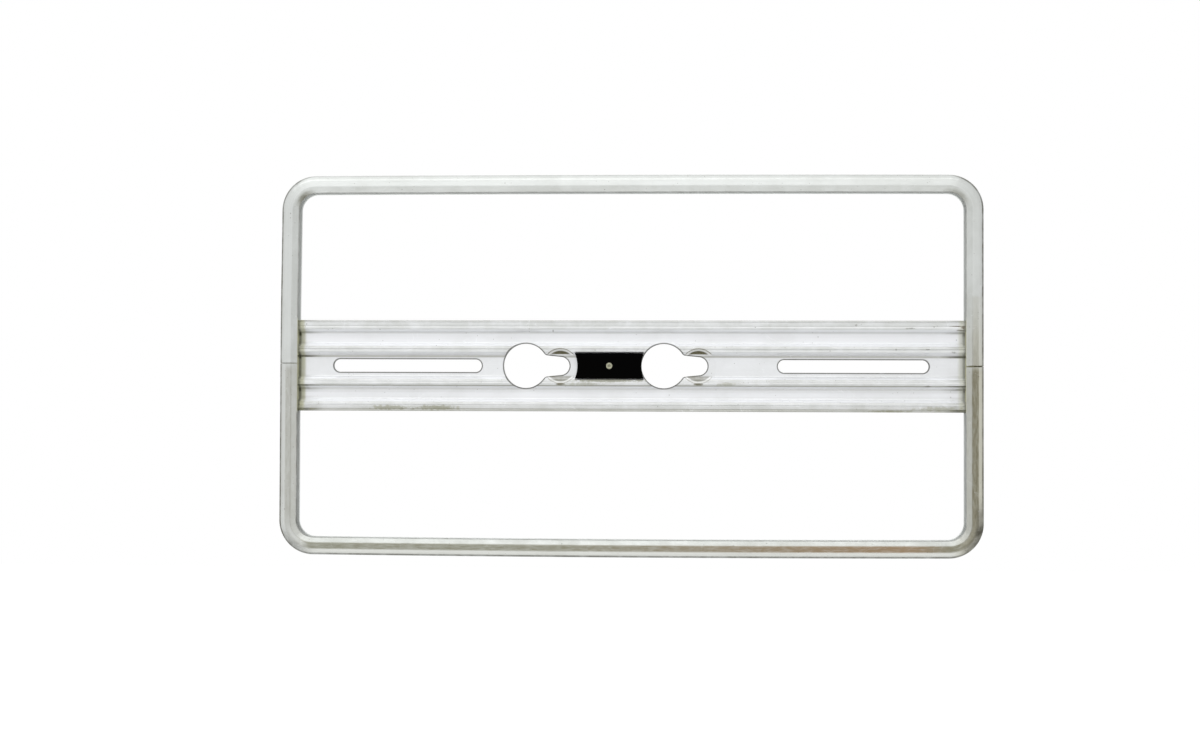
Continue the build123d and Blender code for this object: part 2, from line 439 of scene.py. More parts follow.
def outward(piece):
    """Turns a closed mesh's faces outwards if its volume comes out negative."""
    mesh = piece.data
    mesh.calc_loop_triangles()
    corners = np.empty(len(mesh.loop_triangles) * 3, np.int32)
    mesh.loop_triangles.foreach_get("vertices", corners)
    places = np.empty(len(mesh.vertices) * 3)
    mesh.vertices.foreach_get("co", places)
    a, b, c = places.reshape(-1, 3)[corners].reshape(-1, 3, 3).transpose(1, 0, 2)
    if np.einsum("ij,ij->i", a, np.cross(b, c)).sum() < 0:
        mesh.flip_normals()
    return piece


def cut(piece, cutters):
    """Takes the cutters out of the piece and removes them."""
    for cutter in cutters:
        step = piece.modifiers.new(cutter.name, "BOOLEAN")
        step.operation = "DIFFERENCE"
        step.solver = "EXACT"
        step.object = cutter
    graph = bpy.context.evaluated_depsgraph_get()
    mesh = bpy.data.meshes.new_from_object(piece.evaluated_get(graph))
    if not mesh.polygons:
        raise RuntimeError(f"{piece.name}: nothing was left after cutting its openings")
    old = piece.data
    piece.modifiers.clear()
    piece.data = mesh
    bpy.data.meshes.remove(old)
    for cutter in cutters:
        bpy.data.meshes.remove(cutter.data)
    return piece


def finished(piece, material, slot, *nodes, sharp=28.0):
    """Smooths a piece up to its sharp edges, gives it its finish and lets it stand for its CAD nodes."""
    piece.data.shade_smooth()
    piece.data.set_sharp_from_angle(angle=np.radians(sharp))
    piece.data.materials.clear()
    piece.data.materials.append(material)
    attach(piece, BODY)
    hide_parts(*nodes)
    return piece


class Sheet:
    """Adds nodes to a tree and joins them. A call takes numbers, colours or sockets and returns a socket."""

    def __init__(self, tree):
        self.tree = tree

    def put(self, kind, inputs=(), **settings):
        """New node of a kind, with values or sockets for its inputs by name or number."""
        node = self.tree.nodes.new(kind)
        count = len(self.tree.nodes)
        node.location = (220 * (count // 6), -190 * (count % 6))
        for key, value in settings.items():
            setattr(node, key, value)
        for key, value in dict(inputs).items():
            self.join(value, node.inputs[key])
        return node

    def join(self, value, socket):
        """Links a socket, or sets a plain value."""
        if isinstance(value, bpy.types.NodeSocket):
            self.tree.links.new(value, socket)
        elif isinstance(socket, bpy.types.NodeSocketColor) and len(value) == 3:
            socket.default_value = (*value, 1.0)
        else:
            socket.default_value = value

    def group(self, name, **inputs):
        """Places a shared group with its values and returns its outputs."""
        node = self.put("ShaderNodeGroup", node_tree=bpy.data.node_groups[name])
        for key, value in inputs.items():
            self.join(value, node.inputs[key.replace("_", " ")])
        return node.outputs

    def math(self, operation, *values, clamp=False):
        """Math node of up to three values."""
        node = self.put("ShaderNodeMath", enumerate(values), operation=operation, use_clamp=clamp)
        return node.outputs[0]

    def most(self, *values):
        """Largest of several values."""
        return reduce(lambda total, value: self.math("MAXIMUM", total, value), values)

    def least(self, *values):
        """Smallest of several values."""
        return reduce(lambda total, value: self.math("MINIMUM", total, value), values)

    def times(self, *values):
        """Product of several values."""
        return reduce(lambda total, value: self.math("MULTIPLY", total, value), values)

    def minus(self, first, second):
        """First value less the second."""
        return self.math("SUBTRACT", first, second)

    def line(self, value, slope, start):
        """Start plus slope times value."""
        return self.math("MULTIPLY_ADD", value, slope, start)

    def reach(self, across, up):
        """Length of a vector of two values."""
        return self.math("SQRT", self.math("ADD", self.times(across, across), self.times(up, up)))

    def ramp(self, value, start, end, first=0.0, last=1.0):
        """Smooth step from first to last while the value goes from start to end."""
        inputs = {0: value, 1: start, 2: end, 3: first, 4: last}
        return self.put("ShaderNodeMapRange", inputs, interpolation_type="SMOOTHSTEP").outputs[0]

    def mix(self, share, first, second):
        """Colour mix of two colours."""
        node = self.put("ShaderNodeMix", data_type="RGBA")
        for value, name in ((share, "Factor_Float"), (first, "A_Color"), (second, "B_Color")):
            self.join(value, next(socket for socket in node.inputs if socket.identifier == name))
        return next(socket for socket in node.outputs if socket.identifier == "Result_Color")

    def vector(self, x, y, z):
        """Vector of three values."""
        return self.put("ShaderNodeCombineXYZ", {0: x, 1: y, 2: z}).outputs[0]

    def split(self, vector):
        """The three values of a vector."""
        return self.put("ShaderNodeSeparateXYZ", {0: vector}).outputs

    def noise(self, place, scale, detail=3.0, rough=0.55):
        """Noise between about 0 and 1."""
        inputs = {"Vector": place, "Scale": scale, "Detail": detail, "Roughness": rough}
        return self.put("ShaderNodeTexNoise", inputs).outputs[0]

    def place(self):
        """Object coordinates in millimetres."""
        where = self.put("ShaderNodeTexCoord").outputs["Object"]
        return self.put("ShaderNodeVectorMath", {0: where, "Scale": 1 / MM}, operation="SCALE").outputs[0]

    def surface(self):
        """Length along the piece and length round its section, in millimetres, from its UV map."""
        return self.split(self.put("ShaderNodeUVMap", uv_map="surface").outputs[0])[:2]

    def band(self, value, start, end, soft):
        """Mask of a value between start and end."""
        return self.group("band", Value=value, From=start, To=end, Soft=soft)[0]

    def stripes(self, value, stripes, soft):
        """Largest of several bands, each given as its middle, its width and its strength."""
        return self.most(*[
            self.times(self.band(value, middle - width / 2, middle + width / 2, soft), strength)
            for middle, width, strength in stripes
        ])

    def spots(self, place, spots, ragged=0.4, soft=0.6):
        """Largest of several ovals, each given as its X, Z, half width, half height and strength."""
        return self.most(*[
            self.times(
                self.group(
                    "spot", Place=place, X=x, Z=z, Half_width=half_width, Half_height=half_height,
                    Ragged=ragged, Soft=soft
                )[0],
                strength,
            )
            for x, z, half_width, half_height, strength in spots
        ])

    def specks(self, place, *layers):
        """Largest of several layers of specks, each given as its scale, share and size."""
        return self.most(*[
            self.group("specks", Place=place, Scale=scale, Share=share, Size=size)[0]
            for scale, share, size in layers
        ])

    def film(self, colour, dirt, amount, place, scale, thinnest=0.45):
        """Film of dirt over a colour. Returns the colour and how much is covered."""
        return self.group(
            "film", Colour=colour, Film=dirt, Amount=amount, Place=place, Scale=scale, Thinnest=thinnest
        )


SOCKETS = {"value": "NodeSocketFloat", "colour": "NodeSocketColor", "place": "NodeSocketVector"}


def effect_group(name, inputs, outputs):
    """Empty shader group with named sockets. An input is given as its default value, or as its kind where
    it has none, and an output as its kind."""
    tree = bpy.data.node_groups.new(name, "ShaderNodeTree")
    for key, start in inputs.items():
        kind = start if start in SOCKETS else "value"
        socket = tree.interface.new_socket(name=key, in_out="INPUT", socket_type=SOCKETS[kind])
        if kind == "value":
            socket.default_value = start
    for key, kind in outputs.items():
        tree.interface.new_socket(name=key, in_out="OUTPUT", socket_type=SOCKETS[kind])
    sheet = Sheet(tree)
    return sheet, sheet.put("NodeGroupInput").outputs, sheet.put("NodeGroupOutput").inputs


def make_band():
    """Mask that is 1 while a value lies between two others, with soft ends."""
    inputs = {"Value": 0.0, "From": 0.0, "To": 1.0, "Soft": 0.1}
    sheet, start, end = effect_group("band", inputs, {"Mask": "value"})
    half = sheet.times(start["Soft"], 0.5)

    def step(edge, first, last):
        low, high = sheet.minus(edge, half), sheet.math("ADD", edge, half)
        return sheet.ramp(start["Value"], low, high, first, last)

    sheet.join(sheet.times(step(start["From"], 0.0, 1.0), step(start["To"], 1.0, 0.0)), end["Mask"])


def make_spot():
    """Mask of a soft oval about a place, seen from the front, broken up at its rim by noise."""
    inputs = {"Place": "place", "X": 0.0, "Z": 0.0, "Half width": 1.0, "Half height": 1.0}
    inputs |= {"Soft": 0.6, "Ragged": 0.4}
    sheet, start, end = effect_group("spot", inputs, {"Mask": "value"})
    x, _, z = sheet.split(start["Place"])
    across = sheet.math("DIVIDE", sheet.minus(x, start["X"]), start["Half width"])
    up = sheet.math("DIVIDE", sheet.minus(z, start["Z"]), start["Half height"])
    shift = sheet.minus(sheet.noise(start["Place"], 0.9, 4.0), 0.5)
    reach = sheet.line(shift, sheet.times(start["Ragged"], 2.5), sheet.reach(across, up))
    sheet.join(sheet.ramp(reach, sheet.minus(1.0, start["Soft"]), 1.0, 1.0, 0.0), end["Mask"])


def make_drawn_lines():
    """Fine lines that the extrusion die leaves along a piece: noise drawn out along it."""
    inputs = {"Along": 0.0, "Across": 0.0, "Depth": 0.0, "Density": 3.0}
    sheet, start, end = effect_group("drawn lines", inputs, {"Lines": "value"})
    across = sheet.times(start["Across"], start["Density"])
    broad = sheet.vector(sheet.times(start["Along"], 0.012), across, start["Depth"])
    fine = sheet.vector(sheet.times(start["Along"], 0.05), sheet.times(across, 3.1), start["Depth"])
    total = sheet.line(sheet.noise(fine, 1.0, 2.0), 0.45, sheet.times(sheet.noise(broad, 1.0, 3.0), 0.55))
    sheet.join(sheet.ramp(total, 0.32, 0.68), end["Lines"])


def make_film():
    """Film of dirt over a colour, thicker and thinner by noise."""
    inputs = {"Colour": "colour", "Film": "colour", "Amount": 0.0}
    inputs |= {"Place": "place", "Scale": 0.3, "Thinnest": 0.45}
    sheet, start, end = effect_group("film", inputs, {"Colour": "colour", "Cover": "value"})
    uneven = sheet.noise(start["Place"], start["Scale"], 5.0, 0.62)
    uneven = sheet.ramp(uneven, 0.25, 0.72, start["Thinnest"], 1.25)
    cover = sheet.math("MULTIPLY", start["Amount"], uneven, clamp=True)
    sheet.join(sheet.mix(cover, start["Colour"], start["Film"]), end["Colour"])
    sheet.join(cover, end["Cover"])


def make_specks():
    """Scattered specks: cells of a grid whose random value is under the share, each a small disc."""
    inputs = {"Place": "place", "Scale": 0.4, "Share": 0.1, "Size": 0.2}
    sheet, start, end = effect_group("specks", inputs, {"Mask": "value"})
    cells = sheet.put("ShaderNodeTexVoronoi", {"Vector": start["Place"], "Scale": start["Scale"]})
    chosen = sheet.math("LESS_THAN", sheet.split(cells.outputs["Color"])[0], start["Share"])
    disc = sheet.ramp(cells.outputs["Distance"], sheet.times(start["Size"], 0.5), start["Size"], 1.0, 0.0)
    sheet.join(sheet.times(chosen, disc), end["Mask"])


def make_scratches():
    """Thin crossing scratches: the narrow ridges where drawn-out, turned noise passes its middle value."""
    inputs = {"Place": "place", "Scale": 0.1, "Width": 0.01}
    sheet, start, end = effect_group("scratches", inputs, {"Mask": "value"})
    masks = []
    for angle in (0.35, -0.6, 1.35):
        inputs = {"Vector": start["Place"], "Angle": angle}
        askew = sheet.put("ShaderNodeVectorRotate", inputs, rotation_type="Y_AXIS").outputs[0]
        x, y, z = sheet.split(askew)
        value = sheet.noise(sheet.vector(sheet.times(x, 0.12), y, z), start["Scale"], 1.0)
        ridge = sheet.math("ABSOLUTE", sheet.minus(value, 0.5))
        thin = sheet.ramp(ridge, 0.0, start["Width"], 1.0, 0.0)
        gate = sheet.ramp(sheet.noise(askew, sheet.times(start["Scale"], 0.6), 1.0), 0.5, 0.6)
        masks.append(sheet.times(thin, gate))
    sheet.join(sheet.most(*masks), end["Mask"])


def make_opening():
    """Distance from the edge of a slot whose ends are circles of two radii on the bar's centre line."""
    inputs = {"Place": "place", "Start": 0.0, "Start radius": 1.0, "End": 1.0, "End radius": 1.0}
    sheet, start, end = effect_group("opening", inputs, {"Distance": "value"})
    x, _, z = sheet.split(start["Place"])
    run = sheet.minus(start["End"], start["Start"])
    share = sheet.math("DIVIDE", sheet.minus(x, start["Start"]), run, clamp=True)
    near = sheet.line(share, run, start["Start"])
    radius = sheet.line(share, sheet.minus(start["End radius"], start["Start radius"]), start["Start radius"])
    sheet.join(sheet.minus(sheet.reach(sheet.minus(x, near), z), radius), end["Distance"])


def make_effects():
    """Builds the shared groups once."""
    makers = {
        "band": make_band,
        "spot": make_spot,
        "drawn lines": make_drawn_lines,
        "film": make_film,
        "specks": make_specks,
        "scratches": make_scratches,
        "opening": make_opening,
    }
    for name, make in makers.items():
        if name not in bpy.data.node_groups:
            make()


def blank_material(name):
    """Material with an empty node tree, and its sheet."""
    make_effects()
    material = bpy.data.materials.new(name)
    material.use_nodes = True
    material.node_tree.nodes.clear()
    return material, Sheet(material.node_tree)


def metal(sheet, colour, roughness, metallic, normal, **settings):
    """Principled surface joined to the material's output. Settings are constants on its own sockets."""
    inputs = {"Base Color": colour, "Roughness": roughness, "Metallic": metallic, "Normal": normal}
    shader = sheet.put("ShaderNodeBsdfPrincipled", inputs)
    for key, value in settings.items():
        sheet.join(value, shader.inputs[key.replace("_", " ")])
    output = sheet.put("ShaderNodeOutputMaterial")
    sheet.join(shader.outputs[0], output.inputs["Surface"])


def drawn_metal(sheet, colour, roughness, metallic, normal):
    """Metal that shines across its die lines. Its tangent runs along the piece's UV map."""
    tangent = sheet.put("ShaderNodeTangent", direction_type="UV_MAP", uv_map="surface").outputs[0]
    metal(
        sheet, colour, roughness, metallic, normal, Anisotropic=0.75, Anisotropic_Rotation=0.25,
        Specular_IOR_Level=0.1, Tangent=tangent
    )


def bump(sheet, height, depth):
    """Normal from a height between 0 and 1 that is depth millimetres deep."""
    node = sheet.put("ShaderNodeBump", {"Height": height, "Distance": depth * MM, "Strength": 1.0})
    return node.outputs[0]


def rail_section(size):
    """Rail's closed section as rows of distance inwards from the outer wall and depth, with the lengths
    round it to its points and to the edges between its faces."""
    crown_start = size.width - size.inner_slope - size.crown_width
    groove_floor = size.width - size.groove
    corners = [
        (0, -size.flange, 0.4),
        (0, size.crown - size.shoulder, 1.0),
        (crown_start, size.crown, 2.0),
        (crown_start + size.crown_width, size.crown, 0.8),
        (size.width, size.lip_front, 0.4),
        (size.width, size.lip_back, 0.2),
        (groove_floor, size.lip_back, 0.15),
        (groove_floor, 0, 0.15),
        (size.width, 0, 0.2),
        (size.width, -size.flange, 0.3),
    ]
    section = rounded(corners)
    lengths = along(section)
    marks = [lengths[np.linalg.norm(section - corner[:2], axis=1).argmin()] for corner in corners]
    return section, lengths, marks


def rail_stations(side, size, step=1.5, bend_steps=40):
    """Places of one half's outer wall from its left joint round to its right one, the inward directions
    and the lengths along it: straight, quarter circle, straight, quarter circle, straight."""
    half_width, half_height = UPPER_HIGH[0], UPPER_HIGH[2]
    radius = size.bend
    bend_x, bend_z = half_width - radius, half_height - radius
    left, right = (
        np.linspace(side * joint + size.joint_gap / 2, bend_z, int(half_height / step))
        for joint in (size.left_joint, size.right_joint)
    )
    across = np.linspace(-bend_x, bend_x, int(2 * half_width / step))
    angle = np.linspace(0, np.pi / 2, bend_steps)[1:-1]
    cos, sin = np.cos(angle), np.sin(angle)
    legs = (
        (-half_width, left, 1, 0),
        (-bend_x - radius * cos, bend_z + radius * sin, cos, -sin),
        (across, half_height, 0, -1),
        (bend_x + radius * sin, bend_z + radius * cos, -sin, -cos),
        (half_width, right[::-1], -1, 0),
    )
    x, z, inward_x, inward_z = np.concatenate([np.stack(np.broadcast_arrays(*leg)) for leg in legs], axis=1)
    place, inward = np.stack([x, side * z], 1), np.stack([inward_x, side * inward_z], 1)
    lengths = np.concatenate([[0.0], np.cumsum(np.linalg.norm(np.diff(place, axis=0), axis=1))])
    return place, inward, lengths


def smooth_step(value, start, end):
    """Smooth step from 0 to 1 while the value goes from start to end."""
    share = np.clip((value - start) / (end - start), 0, 1)
    return share * share * (3 - 2 * share)


def hand_bent(rings, side, size, u, v):
    """Bends of a hand-made frame: long rails bowed out at their middle, the left rail leaning in at its
    top, faint waves along every face and small puckers inside the bends. All of it stays inside."""
    x, y, z = (rings[..., axis].copy() for axis in range(3))
    half_width, half_height = UPPER_HIGH[0], UPPER_HIGH[2]
    bow = size.bow if side < 0 else size.bow / 2
    z -= np.sign(z) * bow * (x / half_width) ** 2 * smooth_step(np.abs(z), 20, 60)
    x += size.lean * smooth_step(-x, 100, 140) * smooth_step(z, 10, 84)
    from_bend_x = (np.abs(x) - (half_width - size.bend)) / BEND_REACH
    from_bend_z = (np.abs(z) - (half_height - size.bend)) / BEND_REACH
    near_bend = np.exp(-(from_bend_x**2) - from_bend_z**2)
    uneven = waves(u[:, None], v[None], 60, 30, SEED + side) * FACE_WAVE
    pucker = waves(u[:, None], v[None], 5, 9, SEED + 3 + side) * BEND_PUCKER * near_bend
    return np.stack([x, y + (uneven + pucker), z], -1)


def make_rail(name, side, size):
    """One half of the frame: its section carried along the bent path, drilled for its two screws.

    Ring point = outer wall's place + distance inwards along the inward direction, at the depth."""
    section, v, marks = rail_section(size)
    place, inward, u = rail_stations(side, size)
    x, z = (place[:, axis, None] + inward[:, axis, None] * section[:, 0] for axis in (0, 1))
    low, high = (UPPER_LOW, UPPER_HIGH) if side > 0 else (LOWER_LOW, LOWER_HIGH)
    rings = np.clip(hand_bent(joined(x, -section[:, 1], z), side, size, u, v[:-1]), low, high)
    back = -size.flange
    sink = [(0, back - 1), (SINK_RADIUS, back - 1), (SINK_RADIUS, back), (SCREW_PLAY, back + SINK_DEPTH)]
    sink += [(SCREW_PLAY, 1), (0, 1)]
    screw_x, _, screw_z = (SCREW_LOW + SCREW_HIGH) / 2
    holes = [turned("screw hole", sink, place_x, side * screw_z, 40) for place_x in (-screw_x, screw_x)]
    return cut(carried(name, rings, u, v), holes), marks


def rib_places(size):
    """Heights of the ribs' edges above the bar's middle: the middle rib's inner and outer edge and its
    foot, the outer rib's inner edge and its foot, and the furrows along the crests."""
    middle_inner = size.centre_channel / 2 + size.slope
    middle_outer = middle_inner + size.middle_crest
    outer_inner = BAR_HIGH[2] - size.outer_crest
    return SimpleNamespace(
        middle_inner=middle_inner,
        middle_outer=middle_outer,
        middle_foot=middle_outer + size.slope,
        outer_inner=outer_inner,
        outer_foot=outer_inner - size.slope,
        furrows=((middle_inner + middle_outer) / 2, BAR_HIGH[2] - 0.9, BAR_HIGH[2] - 2.7),
    )


def bar_section(size):
    """Bar's closed section as rows of height and depth, with the lengths round it.

    Depth of the front against height = floor + rib height times a trapezoid over each rib, crowned on
    the crests and hollow in the outer channels. A moving average rounds its corners, V furrows are taken
    out, and points are spread by length and by how much the line turns."""
    edge = BAR_HIGH[2]
    height = np.linspace(-edge, edge, 8001)
    away = np.abs(height)
    rib = rib_places(size)
    crest = -BAR_LOW[1] - RIB_CROWN
    places = [0, size.centre_channel / 2, rib.middle_inner, rib.middle_outer, rib.middle_foot]
    places += [rib.outer_foot, rib.outer_inner, edge]
    depths = [size.floor, size.floor, crest, crest, size.floor, size.floor, crest, crest]
    depth = np.interp(away, places, depths)
    for low, high, rise in (
        (rib.middle_inner, rib.middle_outer, RIB_CROWN),
        (rib.outer_inner, edge, RIB_CROWN),
        (rib.middle_foot, rib.outer_foot, -CHANNEL_HOLLOW),
    ):
        share = np.clip((away - low) / (high - low), 0, 1)
        depth += 4 * rise * share * (1 - share)
    window = np.ones(CORNER_WINDOW) / CORNER_WINDOW
    padded = np.pad(depth, CORNER_WINDOW - 1, mode="edge")
    depth = np.convolve(np.convolve(padded, window, "valid"), window, "valid")
    for furrow in rib.furrows:
        depth -= np.clip(FURROW_DEPTH * (1 - np.abs(away - furrow) / FURROW_HALF), 0, None)
    turning = np.abs(np.gradient(np.arctan(np.gradient(depth, height)), height))
    measure = np.cumsum((1 / 1.1 + turning / 0.3) * (height[1] - height[0]))
    picks = np.interp(np.arange(measure[0], measure[-1], 1.0), measure, height)
    picks = picks[np.abs(picks) < edge - 0.5]
    front = [(pick, deep, 0) for pick, deep in zip(picks, np.interp(picks, height, depth))]
    corners = [(-edge, 0, 0.2), (-edge, depth[0], 0.3), *front, (edge, depth[-1], 0.3), (edge, 0, 0.2)]
    section = rounded(corners, step=1.3)
    return section, along(section)


def slot_outline(x, half_length, radius, steps=48):
    """Slot with round ends in X and Z: a circle whose right and left halves stand apart."""
    angle = np.linspace(0, 2 * np.pi, steps, endpoint=False) + np.pi / steps
    side = np.sign(np.cos(angle)) * (half_length - radius)
    return np.stack([x + side + radius * np.cos(angle), radius * np.sin(angle)], 1)


def keyhole_outline(seat_x, size):
    """Keyhole in X and Z: the entry's long arc, a tapered neck and the seat's short arc, mirrored below.

    The rounded corner beside the entry is an arc tangent to the entry and to the neck's side."""
    entry_x = seat_x - size.entry_offset
    slope = np.arctan2(size.neck_root / 2 - size.seat_radius, size.entry_offset)
    reach = size.entry_radius + NECK_FILLET
    along_neck = np.array([np.cos(slope), -np.sin(slope)])
    off_neck = np.array([np.sin(slope), np.cos(slope)])
    root = np.array([0.0, size.neck_root / 2]) + off_neck * NECK_FILLET
    run = -root @ along_neck + np.sqrt((root @ along_neck) ** 2 - root @ root + reach**2)
    centre = root + along_neck * run
    touch = np.arctan2(centre[1], centre[0])
    entry = np.linspace(touch, np.pi, 40)
    arc = np.linspace(np.pi + touch, 1.5 * np.pi - slope, 10)
    seat = np.linspace(np.pi / 2 - slope, 0, 20)
    upper = np.vstack(
        [
            size.entry_radius * np.stack([np.cos(entry), np.sin(entry)], 1)[::-1],
            centre + NECK_FILLET * np.stack([np.cos(arc), np.sin(arc)], 1),
            [size.entry_offset, 0] + size.seat_radius * np.stack([np.cos(seat), np.sin(seat)], 1),
        ]
    )
    lower = upper[1:-1][::-1] * [1, -1]
    return np.vstack([upper, lower]) + [entry_x, 0]


def bar_places(size):
    """Slots' centre distance, half a slot, its radius, and both seats' places along X."""
    half = size.slot_length / 2
    slot_x = BAR_HIGH[0] - size.slot_margin - half
    return slot_x, half, size.slot_width / 2, (-size.key_spacing / 2, size.key_spacing / 2)


def make_bar(size):
    """Cross bar: its section carried along X, with the slots, keyholes, spot faces and holes cut out."""
    section, v = bar_section(size)
    x = np.linspace(BAR_LOW[0], BAR_HIGH[0], 172)
    raised = section[:, 1] > size.floor / 2
    uneven = waves(x[:, None], v[None, :-1], 45, 14, SEED + 11) * BAR_WAVE * raised
    rings = joined(x[:, None], uneven - section[:, 1], section[:, 0])
    bar = carried("cross_bar_piece", np.clip(rings, BAR_LOW, BAR_HIGH), x - x[0], v)
    slot_x, half, radius, seats = bar_places(size)
    back, front = -1.0, -BAR_LOW[1] + 1
    tools = [prism("slot", slot_outline(side * slot_x, half, radius), back, front) for side in (-1, 1)]
    tools += [prism("keyhole", keyhole_outline(seat, size), back, front) for seat in seats]
    spot_floor = size.floor - SPOT_DEPTH
    tools += [bore("spot face", size.spot_radius, spot_floor, front, seat, 0, 96) for seat in seats]
    tools.append(bore("rivet hole", RIVET_SHANK, back, front, RIVET_X, 0, 24))
    screw_x, _, screw_z = (SCREW_LOW + SCREW_HIGH) / 2
    for place_x in (-screw_x, screw_x):
        for place_z in (-screw_z, screw_z):
            tools.append(bore("screw hole", SCREW_THREAD, back, front, place_x, place_z, 24))
    return cut(bar, tools)


def plate(name, outline, back, front, edge):
    """Flat plate of a closed outline whose front and back edges are rounded.

    Rings follow quarter circles of the edge radius, each ring set in from the outline along its own
    inward direction by radius times 1 - sin of the angle."""
    following = np.roll(outline, -1, axis=0) - outline
    before = outline - np.roll(outline, 1, axis=0)
    tangent = sum(side / np.linalg.norm(side, axis=1)[:, None] for side in (following, before))
    tangent /= np.linalg.norm(tangent, axis=1)[:, None]
    area = np.sum(outline[:, 0] * np.roll(outline[:, 1], -1) - np.roll(outline[:, 0], -1) * outline[:, 1])
    inward = np.stack([-tangent[:, 1], tangent[:, 0]], 1) * np.sign(area)
    angle = np.linspace(0, np.pi / 2, 5)
    rise, fall = edge * (1 - np.cos(angle)), edge * (1 - np.sin(angle))
    inset = np.concatenate([fall, rise])[:, None]
    depth = np.concatenate([back + rise, front - fall])
    x, z = (outline[:, axis] + inset * inward[:, axis] for axis in (0, 1))
    return carried(name, joined(x, -depth[:, None], z), depth, along(outline))


def make_strip():
    """Blank strip: straight above and below, both ends hollowed to the keyholes' spot faces."""
    rise = np.arcsin(STRIP_HIGH[2] / STRIP_HOLLOW)
    angle = np.linspace(-rise, rise, 25)
    inset = STRIP_HOLLOW * (np.cos(angle) - np.cos(rise))
    height = STRIP_HOLLOW * np.sin(angle)
    left = np.stack([STRIP_LOW[0] + inset, height], 1)[::-1]
    right = np.stack([STRIP_HIGH[0] - inset, height], 1)
    back, front = -STRIP_HIGH[1], -STRIP_LOW[1]
    strip = plate("blank_strip_piece", np.vstack([left, right]), back, front, STRIP_EDGE)
    return cut(strip, [bore("rivet hole", RIVET_SHANK, back - 1, front + 1, RIVET_X, 0, 24)])


def make_rivet():
    """Rivet turned about its axis: a set tail, the shank and a flat head with a dish and rounded rims."""
    front, back = -RIVET_LOW[1], -RIVET_HIGH[1]
    radius = RIVET_HIGH[0] - RIVET_X
    tail = [(reach, back + rise) for reach, rise in RIVET_TAIL] + [(RIVET_TAIL[-1][0], 0)]
    shank = [(RIVET_SHANK, 0), (RIVET_SHANK, -STRIP_LOW[1]), (radius, -STRIP_LOW[1])]
    centre = np.array([radius - RIVET_RIM, front - RIVET_RIM])
    turn = np.linspace(0, np.pi / 2, 6)
    rim = (centre + RIVET_RIM * np.stack([np.cos(turn), np.sin(turn)], 1)).tolist()
    profile = tail + shank + rim + [(reach, front - deep) for reach, deep in RIVET_DISH]
    return turned("strip_rivet_piece", profile, RIVET_X, 0, 48)


def make_screw(name, x, z):
    """Countersunk screw turned about its axis: head, thread and point, its slot cut across the head."""
    head, tip = -SCREW_HIGH[1], -SCREW_LOW[1]
    point = tip - SCREW_POINT_LENGTH
    profile = [(0, head), (SCREW_HEAD - 0.07, head), (SCREW_HEAD, head + SCREW_HEAD_RIM)]
    profile += [(SCREW_THREAD, head + SCREW_HEAD_DEPTH)]
    turns = np.arange(head + SCREW_HEAD_DEPTH + 0.18, point, THREAD_HALF_PITCH)
    profile += [(SCREW_THREAD - THREAD_DEPTH * (index % 2), turn) for index, turn in enumerate(turns)]
    profile += [(SCREW_THREAD - 0.05, point), (SCREW_POINT, tip - 0.08), (0, tip)]
    half = SCREW_SLOT_HALF
    slot = np.array([(-2, -half), (2, -half), (2, half), (-2, half)]) + [x, z]
    cutter = prism("screw slot", slot, head - 1, head + SCREW_SLOT_DEPTH)
    return cut(turned(name, profile, x, z, 40), [cutter])


